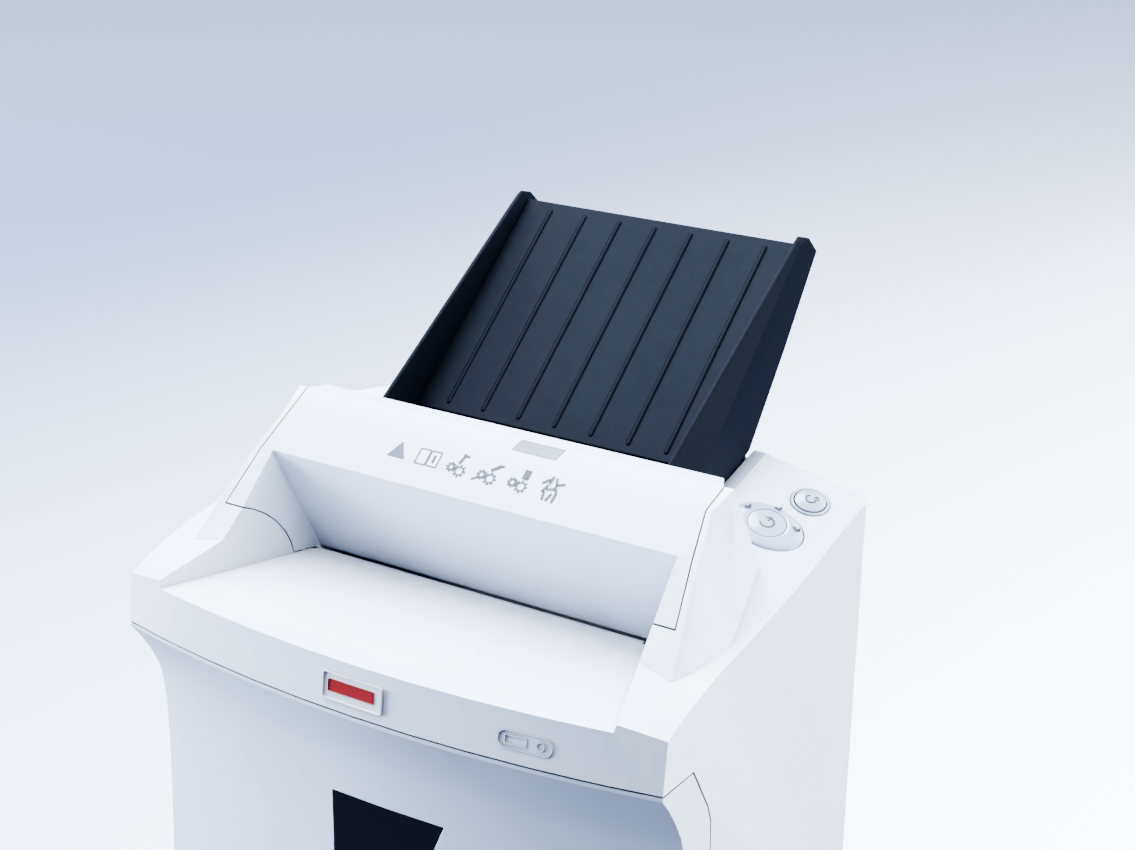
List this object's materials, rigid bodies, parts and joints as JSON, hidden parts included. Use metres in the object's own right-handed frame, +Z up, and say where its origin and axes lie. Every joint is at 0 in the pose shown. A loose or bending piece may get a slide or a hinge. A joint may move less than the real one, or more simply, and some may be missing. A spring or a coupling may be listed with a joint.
{
  "type": "paper shredder",
  "caption": "Upright office paper shredder with a sloping auto-feed rack on top, a recessed manual slot, side buttons, a windowed pull-out bin and castors.",
  "frame": {"origin": "centre of the bounding box at the floor", "axes": "+X to the machine's right side, +Y to its back, +Z up"},
  "size_m": [0.396, 0.358, 0.7093],
  "materials": {
    "white_plastic": "satin white moulded plastic",
    "inner_plastic": "matt pale grey moulded plastic",
    "black_plastic": "satin near-black moulded plastic",
    "dark_plastic": "matt dark grey plastic",
    "button_plastic": "smooth pale grey moulded plastic",
    "smoked_window": "polished smoked plastic",
    "plated_steel": "zinc plated",
    "bright_steel": "ground steel",
    "hard_steel": "hardened and oiled",
    "gear_nylon": "natural nylon",
    "roller_rubber": "matt moulded rubber",
    "circuit_board": "green solder resist"
  },
  "bodies": {
    "cabinet": {"base_plate": "dark_plastic", "bearing_front_left": "bright_steel", "bearing_front_right": "bright_steel", "bearing_rear_left": "bright_steel", "bearing_rear_right": "bright_steel", "bin_guide_left": "inner_plastic", "bin_guide_right": "inner_plastic", "cabinet": "white_plastic", "castor_plate_front_left": "plated_steel", "castor_plate_front_right": "plated_steel", "castor_plate_rear_left": "plated_steel", "castor_plate_rear_right": "plated_steel", "control_board": "circuit_board", "entry_guide": "bright_steel", "feed_motor": "dark_plastic", "head_cover": "white_plastic", "hood_pin_left": "plated_steel", "hood_pin_right": "plated_steel", "hopper_floor": "dark_plastic", "idler_pin": "plated_steel", "mains_inlet": "black_plastic", "motor": "bright_steel", "paper_gate": "dark_plastic", "power_bezel": "button_plastic", "rear_cover": "white_plastic", "reverse_bezel": "button_plastic", "side_plate_left": "plated_steel", "side_plate_right": "plated_steel", "stripper_front": "bright_steel", "stripper_rear": "bright_steel", "support_arm_left": "black_plastic", "support_arm_right": "black_plastic", "support_rest": "black_plastic", "switch_frame": "black_plastic", "tie_bar": "plated_steel"},
    "hood": {"hood": "white_plastic"},
    "bin": {"bin_body": "inner_plastic", "bin_front": "white_plastic", "bin_window": "smoked_window"},
    "cutter_rear": {"cutter_rear": "hard_steel", "gear_rear": "gear_nylon", "gear_drive": "gear_nylon"},
    "cutter_front": {"cutter_front": "hard_steel", "gear_front": "gear_nylon"},
    "idler": {"gear_idler": "gear_nylon"},
    "motor_pinion": {"gear_motor": "bright_steel"},
    "feed_rollers": {"feed_shaft": "bright_steel", "feed_roller_left": "roller_rubber", "feed_roller_right": "roller_rubber"},
    "power_button": {"power_button": "button_plastic"},
    "reverse_button": {"reverse_button": "button_plastic"},
    "switch_rocker": {"switch_rocker": "dark_plastic"},
    "castor_fork_front_left": {"castor_fork_front_left": "plated_steel"},
    "castor_wheel_front_left": {"castor_wheel_front_left": "roller_rubber"},
    "castor_fork_front_right": {"castor_fork_front_right": "plated_steel"},
    "castor_wheel_front_right": {"castor_wheel_front_right": "roller_rubber"},
    "castor_fork_rear_left": {"castor_fork_rear_left": "plated_steel"},
    "castor_wheel_rear_left": {"castor_wheel_rear_left": "roller_rubber"},
    "castor_fork_rear_right": {"castor_fork_rear_right": "plated_steel"},
    "castor_wheel_rear_right": {"castor_wheel_rear_right": "roller_rubber"}
  },
  "joints": [
    {"name": "hood_hinge", "type": "hinge", "parent": "cabinet", "child": "hood", "pos_m": [0, -0.1037, 0.5114], "axis": [1, 0, 0], "range_deg": [0, 65]},
    {"name": "bin_slide", "type": "slide", "parent": "cabinet", "child": "bin", "axis": [0, -1, 0], "range_m": [0, 0.24]},
    {"name": "rear_cutter_turn", "type": "hinge", "parent": "cabinet", "child": "cutter_rear", "pos_m": [0, -0.024, 0.478], "axis": [1, 0, 0], "continuous": true},
    {"name": "front_cutter_turn", "type": "hinge", "parent": "cabinet", "child": "cutter_front", "pos_m": [0, -0.066, 0.478], "axis": [1, 0, 0], "continuous": true},
    {"name": "idler_turn", "type": "hinge", "parent": "cabinet", "child": "idler", "pos_m": [-0.153, 0.01367, 0.48809], "axis": [1, 0, 0], "continuous": true},
    {"name": "motor_turn", "type": "hinge", "parent": "cabinet", "child": "motor_pinion", "pos_m": [-0.153, 0.03685, 0.49431], "axis": [1, 0, 0], "continuous": true},
    {"name": "feed_roller_turn", "type": "hinge", "parent": "cabinet", "child": "feed_rollers", "pos_m": [0, 0.017, 0.5586], "axis": [1, 0, 0], "continuous": true},
    {"name": "power_press", "type": "slide", "parent": "cabinet", "child": "power_button", "axis": [-0.2713, 0.2509, -0.9292], "range_m": [0, 0.0015], "stiffness_N_per_m": 300},
    {"name": "reverse_press", "type": "slide", "parent": "cabinet", "child": "reverse_button", "axis": [-0.2713, 0.2509, -0.9292], "range_m": [0, 0.0015], "stiffness_N_per_m": 300},
    {"name": "switch_rock", "type": "hinge", "parent": "cabinet", "child": "switch_rocker", "pos_m": [0.1, 0.126, 0.349], "axis": [1, 0, 0], "range_deg": [-10, 0]},
    {"name": "castor_swivel_front_left", "type": "hinge", "parent": "cabinet", "child": "castor_fork_front_left", "pos_m": [-0.16, -0.097, 0.0377], "axis": [0, 0, 1], "continuous": true},
    {"name": "castor_roll_front_left", "type": "hinge", "parent": "castor_fork_front_left", "child": "castor_wheel_front_left", "pos_m": [-0.16, -0.084, 0.016], "axis": [1, 0, 0], "continuous": true},
    {"name": "castor_swivel_front_right", "type": "hinge", "parent": "cabinet", "child": "castor_fork_front_right", "pos_m": [0.16, -0.097, 0.0377], "axis": [0, 0, 1], "continuous": true},
    {"name": "castor_roll_front_right", "type": "hinge", "parent": "castor_fork_front_right", "child": "castor_wheel_front_right", "pos_m": [0.16, -0.084, 0.016], "axis": [1, 0, 0], "continuous": true},
    {"name": "castor_swivel_rear_left", "type": "hinge", "parent": "cabinet", "child": "castor_fork_rear_left", "pos_m": [-0.14, 0.075, 0.0377], "axis": [0, 0, 1], "continuous": true},
    {"name": "castor_roll_rear_left", "type": "hinge", "parent": "castor_fork_rear_left", "child": "castor_wheel_rear_left", "pos_m": [-0.14, 0.088, 0.016], "axis": [1, 0, 0], "continuous": true},
    {"name": "castor_swivel_rear_right", "type": "hinge", "parent": "cabinet", "child": "castor_fork_rear_right", "pos_m": [0.14, 0.075, 0.0377], "axis": [0, 0, 1], "continuous": true},
    {"name": "castor_roll_rear_right", "type": "hinge", "parent": "castor_fork_rear_right", "child": "castor_wheel_rear_right", "pos_m": [0.14, 0.088, 0.016], "axis": [1, 0, 0], "continuous": true}
  ],
  "couplings": [
    {"joint": "front_cutter_turn", "follows": "rear_cutter_turn", "ratio": -1},
    {"joint": "idler_turn", "follows": "rear_cutter_turn", "ratio": -1.6},
    {"joint": "motor_turn", "follows": "rear_cutter_turn", "ratio": 2.6667}
  ]
}
